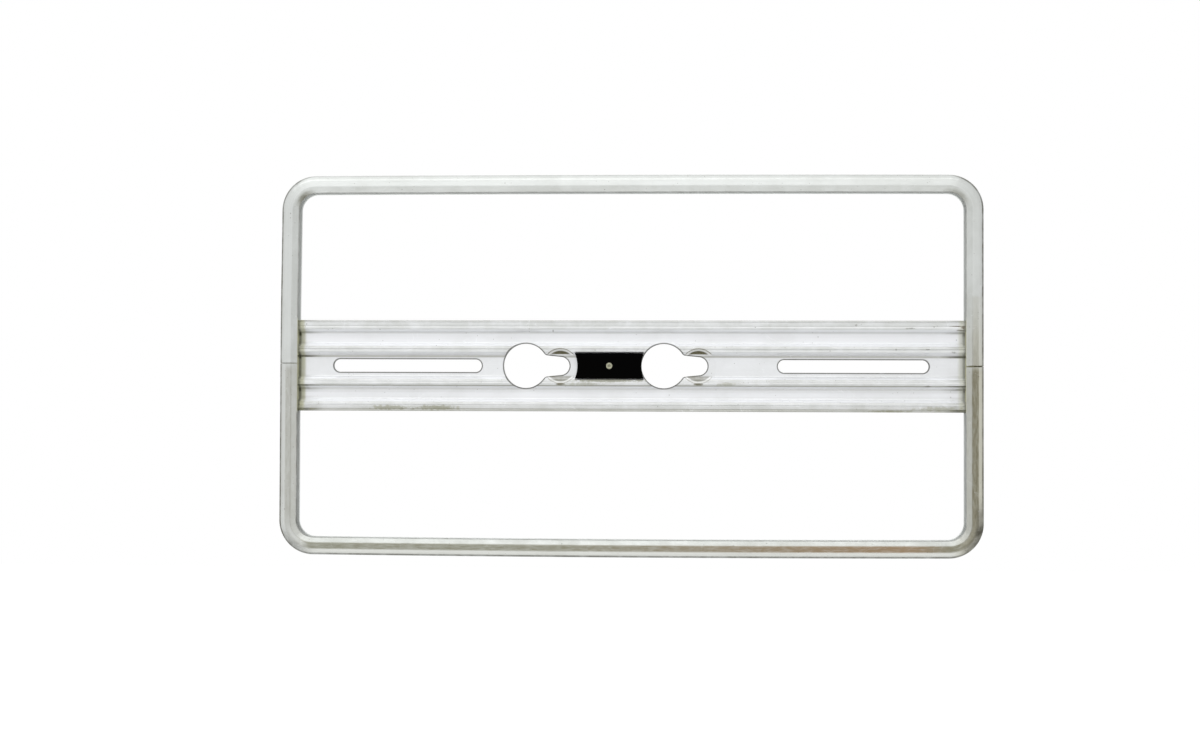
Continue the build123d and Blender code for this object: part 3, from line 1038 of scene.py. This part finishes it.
def rail_finish(marks, paint):
    """Aged extruded rail: die lines, grey film with painted shade in the hollows, painted shade with dirt on
    the walls and lip edges, brown dirt on the lower half's crown, and painted light on the lip beside the
    bar.
    """
    material, sheet = blank_material("aged rail")
    u, v = sheet.surface()
    place = sheet.place()
    x, _, z = sheet.split(place)
    away_x, away_z = sheet.math("ABSOLUTE", x), sheet.math("ABSOLUTE", z)
    wall_back, wall_top, crown_start, crown_end, lip_front, lip_back = marks[:6]
    flange_front, flange_back = marks[8:]
    lines = sheet.group("drawn lines", Along=u, Across=v, Density=2.4, Depth=sheet.ramp(z, -1, 1))[0]
    clouds = sheet.noise(place, 0.045, 4.0, 0.6)
    mottle = sheet.noise(place, 0.7, 4.0, 0.6)

    # Places on the frame: its right side, its uprights and level rails, its lower half and its bends
    right = sheet.ramp(x, -60, 150)
    upright = sheet.ramp(away_x, 138, 147)
    level = sheet.minus(1.0, upright)
    top = sheet.times(sheet.ramp(z, 60, 78), level)
    fades_up = sheet.times(sheet.ramp(z, 31, 29.5, 0.0, 0.27), sheet.ramp(z, 31, 2, 0.6, 2.0))
    lower = sheet.most(sheet.ramp(z, 2.0, -3.0), sheet.times(fades_up, upright, right))
    left_low = sheet.times(lower, upright, sheet.minus(1.0, right))
    bend = sheet.times(upright, sheet.ramp(away_z, 64, 74))
    beside_bar = sheet.times(upright, sheet.ramp(away_z, 19.5, 21.5, 1.0, 0.0))

    def face(start, end, soft=0.5):
        return sheet.band(v, start, end, soft)

    # Faces of the section, by the length round it
    upright_start = sheet.line(right, -0.85, crown_start + 1.3)
    crown = sheet.most(
        face(crown_start + 0.75, crown_end + 0.7, 0.9),
        sheet.times(face(upright_start, crown_end + 0.3, 0.9), upright),
    )
    rim = sheet.line(top, -0.45, wall_top + 1.15)
    wall = sheet.most(face(wall_top - 0.3, rim, 0.7), sheet.times(face(wall_back, rim, 0.8), 0.3))
    outer = face(wall_top + 0.6, crown_start + 0.9, 0.8)
    front = face(wall_top, crown_end, 0.8)
    inner = face(crown_end + 0.2, lip_front - 0.2)
    lip_edge = face(lip_front - 0.25, lip_back + 0.2)
    in_groove = face(lip_back + 0.2, flange_front, 0.2)
    behind = sheet.math("ADD", in_groove, face(flange_back, flange_back + 60, 0.2), clamp=True)

    colour = sheet.mix(sheet.times(lines, 0.16), paint.rail, [shade * 0.72 for shade in paint.rail])
    colour = sheet.mix(sheet.ramp(clouds, 0.45, 0.7, 0.0, 0.14), colour, paint.grey_film_and_shade)

    # Grey film with painted shade in the hollows and on the top rail's outer slope, and dust on the right and
    # the lower faces
    hollow = sheet.most(
        sheet.times(inner, sheet.line(sheet.times(lower, level), 0.16, 0.24)),
        sheet.times(front, upright, sheet.line(right, 0.12, 0.03)),
        sheet.times(outer, top, 0.13),
    )
    khaki = sheet.mix(sheet.times(lower, upright), paint.grey_film_and_shade, KHAKI_FILM)
    colour = sheet.film(colour, khaki, hollow, place, 0.12)[0]
    colour = sheet.mix(sheet.times(front, upright, lower, right, 0.4), colour, PALE_DUST)
    warm = sheet.times(face(wall_top + 0.8, crown_start + 0.7), level, lower, 0.15)
    colour = sheet.mix(warm, colour, WARM_DUST)

    # Road dirt on the lower half's crown: brown at the right of the level rail, olive elsewhere
    amount = sheet.line(right, 0.14, sheet.line(upright, sheet.line(right, 0.36, -0.46), 0.78))
    thinner = sheet.minus(1.0, sheet.times(bend, sheet.line(right, -0.36, 0.5)))
    beside_crown = sheet.times(upright, sheet.line(outer, 0.22, sheet.times(inner, 0.32)))
    amount = sheet.times(amount, thinner, lower, sheet.most(crown, beside_crown))
    olive = sheet.mix(upright, LEVEL_OLIVE, UPRIGHT_OLIVE)
    brown = sheet.mix(sheet.times(right, level, sheet.ramp(x, 145, 118)), olive, paint.brown_film)
    drawn = sheet.vector(sheet.times(u, 0.15), sheet.times(v, 0.7), 0.0)
    colour, cover = sheet.film(colour, brown, amount, drawn, 1.5, 0.8)

    # Painted shade with dirt: on the outer walls, at the lower bends' outer edges, on the lip edges, in the
    # groove and on the back, and a thin line at the crown's inner edge on the lower uprights
    less_below = sheet.line(sheet.times(level, lower), -0.2, 1.0)
    wall_dark = sheet.times(wall, sheet.line(top, -0.6, 0.76), less_below)
    stains_and_shade = sheet.spots(place, BEND_STAINS_AND_SHADE, 0.15, 1.0)
    bend_dark = sheet.times(stains_and_shade, face(wall_back, crown_start + 1.5, 2.0))
    lip_dark = sheet.times(lip_edge, sheet.line(beside_bar, -0.48, 0.48))
    lip_dark = sheet.line(sheet.times(lip_edge, left_low), 0.2, lip_dark)
    inside = sheet.times(behind, sheet.line(left_low, 0.1, 0.05))
    crown_edge_line = sheet.times(face(crown_end + 0.35, crown_end + 0.6, 0.35), upright, lower, 0.14)
    dark = sheet.most(wall_dark, bend_dark, lip_dark, inside, crown_edge_line)
    colour = sheet.film(colour, WALL_SHADE_AND_DIRT, dark, place, 0.2)[0]

    # Grime in the joints and inside the upper bends, and painted light on the lip beside the bar
    in_bend = sheet.times(face(crown_end + 1.2, lip_front + 0.4, 1.6), 0.75)
    bend_grime = sheet.times(sheet.spots(place, BEND_GRIME, 0.15, 1.0), in_bend)
    grime = sheet.most(sheet.spots(place, JOINT_GRIME), bend_grime)
    colour = sheet.mix(grime, colour, CREVICE_DIRT)
    lit_lip = sheet.times(beside_bar, face(lip_front - 0.1, lip_back + 0.2, 0.3))
    colour = sheet.mix(sheet.times(lit_lip, 0.85), colour, LIP_LIGHT)

    specks = sheet.specks(place, (0.55, 0.04, 0.2), (1.1, 0.05, 0.25))
    colour = sheet.mix(sheet.times(specks, 0.45), colour, RAIL_SPECK)
    scratches = sheet.group("scratches", Place=place, Scale=0.22, Width=0.004)[0]
    colour = sheet.mix(sheet.times(scratches, 0.35), colour, RAIL_SCRATCH)

    cover = sheet.math("ADD", cover, grime, clamp=True)
    rough = sheet.line(cover, 0.22, sheet.line(lines, 0.06, sheet.line(mottle, 0.1, 0.4)))
    dull = sheet.most(sheet.times(cover, 0.62), sheet.times(dark, 1.25), lit_lip)
    metallic = sheet.math("MULTIPLY_ADD", dull, -0.88, 0.88, clamp=True)
    height = sheet.minus(sheet.line(lines, 0.55, sheet.times(mottle, 0.4)), sheet.times(specks, 0.5))
    drawn_metal(sheet, colour, rough, metallic, bump(sheet, height, 0.012))
    return material


def opening_edges(sheet, place, size):
    """Distance in millimetres from the nearest opening's edge, negative inside it."""
    slot_x, half, radius, seats = bar_places(size)
    reach = half - radius
    shapes = [(side * slot_x - reach, radius, side * slot_x + reach, radius) for side in (-1, 1)]
    for seat in seats:
        entry = seat - size.entry_offset
        shapes.append((entry, size.entry_radius, entry + 0.01, size.entry_radius))
        shapes.append((entry, size.neck_root / 2, seat, size.seat_radius))
    return sheet.least(*[
        sheet.group("opening", Place=place, Start=start, Start_radius=first, End=end, End_radius=last)[0]
        for start, first, end, last in shapes
    ])


def bar_finish(size, paint):
    """Mill finish bar: die lines, greyer crests, painted shade with dirt under the ribs, painted shade round
    the openings, painted highlights and glints on the ribs, grime with painted shade and painted light at its
    ends, and stain marks with a painted shadow under the strip.
    """
    material, sheet = blank_material("ribbed bar")
    u, v = sheet.surface()
    place = sheet.place()
    x, y, z = sheet.split(place)
    away_x, away_z = sheet.math("ABSOLUTE", x), sheet.math("ABSOLUTE", z)
    lines = sheet.group("drawn lines", Along=u, Across=v, Density=2.6, Depth=4.0)[0]
    clouds = sheet.noise(place, 0.05, 4.0, 0.6)
    mottle = sheet.noise(place, 0.8, 4.0, 0.6)
    front = sheet.ramp(y, -0.6, -0.9)
    edge = BAR_HIGH[2]
    channel = size.centre_channel / 2
    rib = rib_places(size)

    crests = (
        (rib.outer_inner, edge + 1),
        (rib.middle_inner, rib.middle_outer + 0.1),
        (-rib.middle_outer, 0.1 - rib.middle_inner),
        (-edge - 1, 0.1 - rib.outer_inner),
    )
    crest = sheet.most(*[sheet.band(z, start, end, 0.3) for start, end in crests])
    # Painted shade and painted highlights along the ribs, each as its height, width and strength: lines of
    # painted shade with dirt, mostly under the ribs' feet, painted highlights on the up-facing slopes, and
    # painted glints
    dark_lines = (
        (channel - 0.55, 0.9, 0.5),
        (rib.outer_foot - 0.15, 0.8, 0.2),
        (-rib.middle_foot - 0.35, 0.9, 0.24),
        (-rib.middle_foot - 1.2, 1.3, 0.08),
        (-rib.middle_outer - 0.1, 0.4, 0.75),
        (0.4 - edge, 1.8, 0.42),
        (1.9 - edge, 1.2, 0.1),
        (edge - 0.3, 0.5, 0.22),
        (rib.middle_outer - 1.0, 0.7, 0.08),
        (-rib.outer_foot + 0.7, 1.2, 0.08),
        (rib.middle_outer - 0.3, 0.6, 0.14),
        (-rib.middle_inner - 0.3, 0.7, 0.1),
        (-rib.outer_inner - 0.4, 0.7, 0.1),
        (rib.middle_foot + 0.4, 0.8, 0.06),
        (0.3 - channel, 0.8, 0.07),
        (0.3 - rib.outer_foot, 0.8, 0.05),
    )
    highlight_lines = (
        (rib.middle_outer + 0.55, 1.1, 0.75),
        (0.4 - rib.middle_inner, 0.8, 0.75),
        (0.55 - rib.outer_inner, 1.0, 0.75),
    )
    glints = (
        rib.middle_inner - 0.5,
        rib.middle_inner + 0.5,
        -rib.middle_outer - 0.9,
        1.4 - rib.middle_outer,
        rib.outer_inner - 0.4,
        rib.outer_inner + 1.0,
    )
    feet = sheet.stripes(z, dark_lines, 0.3)
    furrows = sheet.stripes(away_z, [(line, 0.2, 0.1) for line in rib.furrows], 0.2)
    centre = sheet.ramp(away_z, channel - 0.3, channel + 0.3, 1.0, 0.0)

    colour = sheet.mix(sheet.times(lines, 0.14), paint.bar, [shade * 0.74 for shade in paint.bar])
    plain = sheet.mix(sheet.ramp(clouds, 0.42, 0.7, 0.0, 0.1), colour, paint.grey_film_and_shade)
    grey = sheet.most(sheet.times(crest, 0.36), sheet.times(centre, 0.1))
    colour = sheet.film(plain, paint.grey_film_and_shade, grey, place, 0.14)[0]
    # Painted shade with dirt under the ribs' feet and in the furrows
    colour = sheet.mix(sheet.most(feet, furrows), colour, FOOT_SHADE_AND_DIRT)
    # Painted highlights on the up-facing slopes, and painted glints
    colour = sheet.mix(sheet.stripes(z, highlight_lines, 0.35), colour, PAINTED_HIGHLIGHT)
    colour = sheet.mix(sheet.stripes(z, [(line, 0.6, 0.3) for line in glints], 0.35), colour, GLINT)
    # Painted shade round the openings' edges
    rim = sheet.ramp(opening_edges(sheet, place, size), 0.3, 0.65, 1.0, 0.0)
    colour = sheet.mix(sheet.times(rim, 0.9), colour, OPENING_SHADE)

    # Spot faces: a painted highlight on a ring, painted shade with dirt in a lens and an outline, darker
    # above than below, and marks of painted shade with dirt where they end below
    seats = bar_places(size)[3]
    spot = size.spot_radius
    reach = sheet.least(*[sheet.reach(sheet.minus(x, seat), z) for seat in seats])
    ring = sheet.times(sheet.band(reach, spot - 0.7, spot, 0.3), sheet.ramp(away_z, 4.4, 5.0), 0.6)
    colour = sheet.mix(ring, colour, SPOT_RING_HIGHLIGHT)
    above, below = sheet.ramp(z, 4.9, 5.5), sheet.ramp(z, -4.2, -4.8)
    lens = sheet.times(sheet.ramp(reach, spot - 1.1, spot - 0.6, 1.0, 0.0), sheet.line(below, 0.45, above))
    outline = sheet.band(reach, spot, spot + 0.25, 0.25)
    outline = sheet.times(outline, sheet.most(above, sheet.times(below, 0.5)), 0.8)
    ends_below = sheet.spots(place, [(seat, -8.0, 2.6, 0.7, 0.8) for seat in seats], 0.3)
    crescent = sheet.most(lens, outline, ends_below)
    colour = sheet.film(colour, SPOT_SHADE_AND_DIRT, crescent, place, 0.5, 0.8)[0]

    # Ends: a pale halo, olive grime with painted shade along the rails, and painted light on the bar under
    # their lips
    left = sheet.math("LESS_THAN", x, 0.0)
    halo = sheet.times(sheet.ramp(away_x, 142.6, 144.2), sheet.line(left, 0.35, 0.25))
    colour = sheet.film(colour, END_HALO, halo, place, 0.35, 0.8)[0]
    # Painted light on the bar under the rails' lips
    lit_under_lip = sheet.ramp(away_x, 146.0, 146.5)
    colour = sheet.mix(lit_under_lip, colour, UNDER_LIP_LIGHT)
    # Olive grime with painted shade at the channel ends, more at the left
    very_end = sheet.times(sheet.ramp(away_x, 144.8, 145.6), sheet.ramp(away_x, 145.9, 146.6, 1.0, 0.15))
    nooks = [(line - 0.75, 1.5, 0.45) for line in (rib.outer_foot, channel, -rib.middle_foot)]
    grime = sheet.math("ADD", sheet.stripes(z, nooks, 1.0), sheet.line(sheet.minus(1.0, crest), 0.3, 0.3))
    grime = sheet.times(very_end, grime, sheet.line(left, 0.45, 0.5))
    grime = sheet.most(grime, sheet.times(sheet.ramp(away_x, 134, 146), feet, 1.4))
    colour = sheet.film(colour, paint.olive, grime, place, 0.35, 0.8)[0]

    # Yellow stain marks, one of them a painted shadow below the strip
    stains_and_shade = sheet.spots(place, BAR_STAINS_AND_SHADOW, 0.9)
    colour = sheet.mix(stains_and_shade, colour, YELLOW_STAIN_AND_SHADE)
    rust = sheet.spots(place, BAR_RUST, 0.5, 0.8)
    colour = sheet.mix(sheet.times(rust, 0.7), colour, paint.rust)
    colour = sheet.mix(front, plain, colour)

    nicks = sheet.times(front, sheet.spots(place, BAR_NICKS, 0.7))
    marks = sheet.most(sheet.specks(place, (0.4, 0.04, 0.16), (1.0, 0.04, 0.25)), nicks)
    colour = sheet.mix(sheet.times(marks, 0.5), colour, BAR_SPECK)
    scratches = sheet.group("scratches", Place=place, Scale=0.2, Width=0.004)[0]
    colour = sheet.mix(sheet.times(scratches, 0.3), colour, BAR_SCRATCH)

    cover = sheet.math("ADD", sheet.most(grime, halo, lit_under_lip), crescent, clamp=True)
    cover = sheet.times(front, sheet.most(cover, sheet.times(rust, 0.8), stains_and_shade))
    rough = sheet.line(cover, 0.25, sheet.line(lines, 0.05, sheet.line(mottle, 0.08, 0.38)))
    metallic = sheet.line(cover, -0.85, 0.9)
    height = sheet.minus(sheet.line(lines, 0.5, sheet.times(mottle, 0.4)), sheet.times(marks, 0.6))
    drawn_metal(sheet, colour, rough, metallic, bump(sheet, height, 0.01))
    return material


def enamel_finish(paint):
    """Black enamel: nearly even, with faint orange peel and dust."""
    material, sheet = blank_material("black enamel")
    place = sheet.place()
    dust = sheet.times(sheet.specks(place, (1.3, 0.05, 0.16)), 0.25)
    colour = sheet.mix(dust, paint.enamel, ENAMEL_DUST)
    rough = sheet.line(sheet.noise(place, 0.3, 3.0), 0.12, 0.5)
    peel = bump(sheet, sheet.noise(place, 1.6, 2.0), 0.006)
    metal(sheet, colour, rough, 0.0, peel, Specular_IOR_Level=0.015)
    return material


def rivet_finish():
    """Tarnished rivet: pale olive head, darker in its dish and at its rim."""
    material, sheet = blank_material("tarnished rivet")
    place = sheet.place()
    x, _, z = sheet.split(place)
    reach = sheet.reach(sheet.minus(x, RIVET_X), z)
    uneven = sheet.noise(place, 2.2, 4.0)
    colour = sheet.mix(sheet.ramp(uneven, 0.3, 0.7, 0.0, 0.5), RIVET_OLIVE, RIVET_TARNISH)
    colour = sheet.mix(sheet.ramp(reach, 0.45, 0.95, 0.7, 0.0), colour, RIVET_DISH_DIRT)
    colour = sheet.mix(sheet.ramp(reach, 1.05, 1.35, 0.0, 0.6), colour, BAR_SPECK)
    metal(sheet, colour, sheet.line(uneven, 0.2, 0.38), 0.75, bump(sheet, uneven, 0.02))
    return material


def screw_finish():
    """Plated steel screw with a dull film, brown in its slot."""
    material, sheet = blank_material("plated screw")
    place = sheet.place()
    _, y, _ = sheet.split(place)
    uneven = sheet.noise(place, 1.4, 5.0)
    spots = sheet.times(sheet.specks(place, (2.5, 0.25, 0.3)), 0.5)
    colour = sheet.mix(sheet.ramp(uneven, 0.35, 0.7, 0.0, 0.6), SCREW_PLATING, SCREW_FILM)
    colour = sheet.mix(sheet.most(sheet.ramp(y, 1.15, 1.0, 0.0, 0.6), spots), colour, SCREW_RUST)
    metal(sheet, colour, sheet.line(uneven, 0.25, 0.3), 0.9, bump(sheet, uneven, 0.01))
    return material


def seen_white(sheet, dim, bright=1.0):
    """Value that is bright for camera, glossy and transmission rays and dim for the rest."""
    path = sheet.put("ShaderNodeLightPath").outputs
    seen = sheet.most(path["Is Camera Ray"], path["Is Glossy Ray"], path["Is Transmission Ray"])
    return sheet.line(seen, bright - dim, dim)


def make_world():
    """White world behind the object, dimmer as the light on it."""
    world = bpy.data.worlds.new("white room")
    bpy.context.scene.world = world
    world.use_nodes = True
    world.node_tree.nodes.clear()
    sheet = Sheet(world.node_tree)
    back = sheet.put("ShaderNodeBackground", {"Color": WHITE, "Strength": seen_white(sheet, ROOM_LIGHT)})
    output = sheet.put("ShaderNodeOutputWorld")
    sheet.join(back.outputs[0], output.inputs["Surface"])


def make_floor(size):
    """Pale floor below the object, that keeps its shadow."""
    material, sheet = blank_material("pale floor")
    diffuse = sheet.put("ShaderNodeBsdfDiffuse", {"Color": PALE_FLOOR})
    glow = sheet.put("ShaderNodeEmission", {"Color": WHITE, "Strength": seen_white(sheet, 0.0, FLOOR_GLOW)})
    both = sheet.put("ShaderNodeAddShader", {0: diffuse.outputs[0], 1: glow.outputs[0]})
    output = sheet.put("ShaderNodeOutputMaterial")
    sheet.join(both.outputs[0], output.inputs["Surface"])
    level = LOWER_LOW[2] - size.floor_drop
    points = [(x * FLOOR_REACH, y * FLOOR_REACH, level) for x, y in ((-1, -1), (1, -1), (1, 1), (-1, 1))]
    floor = new_piece("floor", points, [(0, 1, 2, 3)])
    floor.data.materials.append(material)


def add_lamp(name, place, target, width, height, power):
    """Area lamp, its place and target in millimetres, unseen by the camera."""
    lamp = bpy.data.lights.new(name, "AREA")
    lamp.shape = "RECTANGLE"
    lamp.size, lamp.size_y = width * MM, height * MM
    lamp.energy = power
    thing = bpy.data.objects.new(name, lamp)
    thing.location = Vector(place) * MM
    thing.rotation_euler = (Vector(target) - Vector(place)).to_track_quat("-Z", "Y").to_euler()
    thing.visible_camera = False
    bpy.context.scene.collection.objects.link(thing)


def make_camera(settings, size):
    """Camera in front of the bar, turned a little left and up as the photograph was taken."""
    camera = bpy.data.cameras.new("camera")
    camera.sensor_width = 36.0
    camera.lens = camera.sensor_width * settings.focal_pixels / PICTURE_WIDTH
    camera.clip_end = 20.0
    thing = bpy.data.objects.new("camera", camera)
    thing.location = Vector((size.camera_x, -size.distance, size.camera_z)) * MM
    yaw, pitch, roll = settings.turn
    facing = Euler((np.pi / 2 + pitch, 0, -yaw)).to_matrix() @ Euler((0, 0, roll)).to_matrix()
    thing.rotation_euler = facing.to_euler()
    bpy.context.scene.collection.objects.link(thing)
    bpy.context.scene.camera = thing


def group_of(context, name):
    """A property group of the scene, as it is and read in millimetres."""
    group = getattr(context.scene, name)
    return group, Millimetres(group)


def colours_of(context):
    """The finish colours as plain tuples."""
    group = context.scene.holder_finish
    return SimpleNamespace(**{key: tuple(getattr(group, key)) for key in FinishColours.__annotations__})


class HOLDER_OT_rails(bpy.types.Operator):
    """Makes both halves of the rail frame"""

    bl_idname = "holder.rails"
    bl_label = "Rails"

    def execute(self, context):
        size = group_of(context, "holder_rail")[1]
        upper, marks = make_rail("upper_rail_piece", 1, size)
        lower, _ = make_rail("lower_rail_piece", -1, size)
        material = rail_finish(marks, colours_of(context))
        finished(upper, material, "rail_aluminium", "upper_frame_half")
        finished(lower, material, "rail_aluminium", "lower_frame_half")
        return {"FINISHED"}


class HOLDER_OT_bar(bpy.types.Operator):
    """Makes the ribbed cross bar"""

    bl_idname = "holder.bar"
    bl_label = "Cross bar"

    def execute(self, context):
        size = group_of(context, "holder_bar")[1]
        finished(make_bar(size), bar_finish(size, colours_of(context)), "bar_aluminium", "cross_bar")
        return {"FINISHED"}


class HOLDER_OT_strip(bpy.types.Operator):
    """Makes the blank strip"""

    bl_idname = "holder.strip"
    bl_label = "Blank strip"

    def execute(self, context):
        finished(make_strip(), enamel_finish(colours_of(context)), "black_strip", "blank_strip")
        return {"FINISHED"}


class HOLDER_OT_rivet(bpy.types.Operator):
    """Makes the rivet that holds the strip"""

    bl_idname = "holder.rivet"
    bl_label = "Rivet"

    def execute(self, context):
        finished(make_rivet(), rivet_finish(), "rivet_aluminium", "strip_rivet")
        return {"FINISHED"}


class HOLDER_OT_screws(bpy.types.Operator):
    """Makes the four screws that hold the rails to the bar"""

    bl_idname = "holder.screws"
    bl_label = "Screws"

    def execute(self, context):
        material = screw_finish()
        centre = (SCREW_LOW + SCREW_HIGH) / 2
        for level, up in (("upper", 1), ("lower", -1)):
            for hand, across in (("left", -1), ("right", 1)):
                name = f"retaining_screw_{level}_{hand}"
                screw = make_screw(name + "_piece", across * centre[0], up * centre[2])
                finished(screw, material, "screw_steel", name)
        return {"FINISHED"}


class HOLDER_OT_stage(bpy.types.Operator):
    """Makes the camera, the lamps, the world and the floor"""

    bl_idname = "holder.stage"
    bl_label = "Stage"

    def execute(self, context):
        settings, size = group_of(context, "holder_stage")
        context.scene.view_settings.view_transform = "Standard"
        make_world()
        make_floor(size)
        make_camera(settings, size)
        add_lamp("overhead lamp", LAMP_PLACE, (0, 0, 0), LAMP_WIDTH, LAMP_HEIGHT, settings.lamp_power)
        return {"FINISHED"}


class HOLDER_PT_pieces(bpy.types.Panel):
    """Lists the holder's operators"""

    bl_idname = "HOLDER_PT_pieces"
    bl_label = "Plate holder"
    bl_space_type = "VIEW_3D"
    bl_region_type = "UI"
    bl_category = "Plate holder"

    def draw(self, context):
        for operator in OPERATORS:
            self.layout.operator(operator.bl_idname)


OPERATORS = (
    HOLDER_OT_rails,
    HOLDER_OT_bar,
    HOLDER_OT_strip,
    HOLDER_OT_rivet,
    HOLDER_OT_screws,
    HOLDER_OT_stage,
)


def register():
    """Registers the properties, the operators and the panel."""
    for name, group in GROUPS.items():
        bpy.utils.register_class(group)
        setattr(bpy.types.Scene, name, bpy.props.PointerProperty(type=group))
    for operator in OPERATORS:
        bpy.utils.register_class(operator)
    bpy.utils.register_class(HOLDER_PT_pieces)


def unregister():
    """Takes away what register added."""
    bpy.utils.unregister_class(HOLDER_PT_pieces)
    for operator in reversed(OPERATORS):
        bpy.utils.unregister_class(operator)
    for name, group in GROUPS.items():
        delattr(bpy.types.Scene, name)
        bpy.utils.unregister_class(group)


def main():
    """Builds the holder and its stage."""
    register()
    for operator in OPERATORS:
        group, name = operator.bl_idname.split(".")
        getattr(getattr(bpy.ops, group), name)()


if __name__ == "__main__":
    main()
